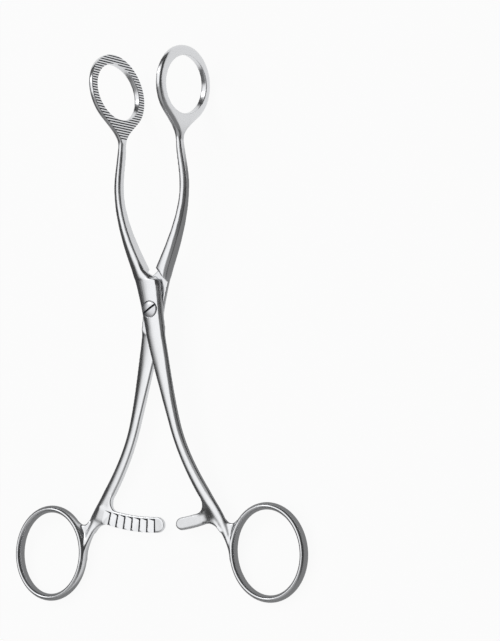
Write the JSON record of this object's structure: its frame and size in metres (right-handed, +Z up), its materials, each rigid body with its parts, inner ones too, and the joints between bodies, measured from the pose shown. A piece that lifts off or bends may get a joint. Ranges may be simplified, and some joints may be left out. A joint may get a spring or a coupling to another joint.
{
  "type": "tissue forceps",
  "caption": "Tissue forceps: crossing steel arms on a slotted screw, with oval windowed jaws, cross serrations, a ratchet between the shanks, and finger rings.",
  "frame": {"origin": "on the ground under the middle of the forceps as they lie", "axes": "+Y along the forceps towards the jaws, +X across them towards the upper arm's finger ring, +Z up"},
  "size_m": [0.1244, 0.1996, 0.0338],
  "materials": {
    "polished_steel": "polished",
    "screw_steel": "satin"
  },
  "bodies": {
    "lower_body": {"lower_arm": "polished_steel", "pivot_screw": "screw_steel"},
    "upper_body": {"upper_arm": "polished_steel"}
  },
  "joints": [
    {"name": "screw_pivot", "type": "hinge", "parent": "lower_body", "child": "upper_body", "pos_m": [0, 0.0051, 0.01052], "axis": [0, -0.0787, 0.9969], "range_deg": [-18, 32]}
  ]
}
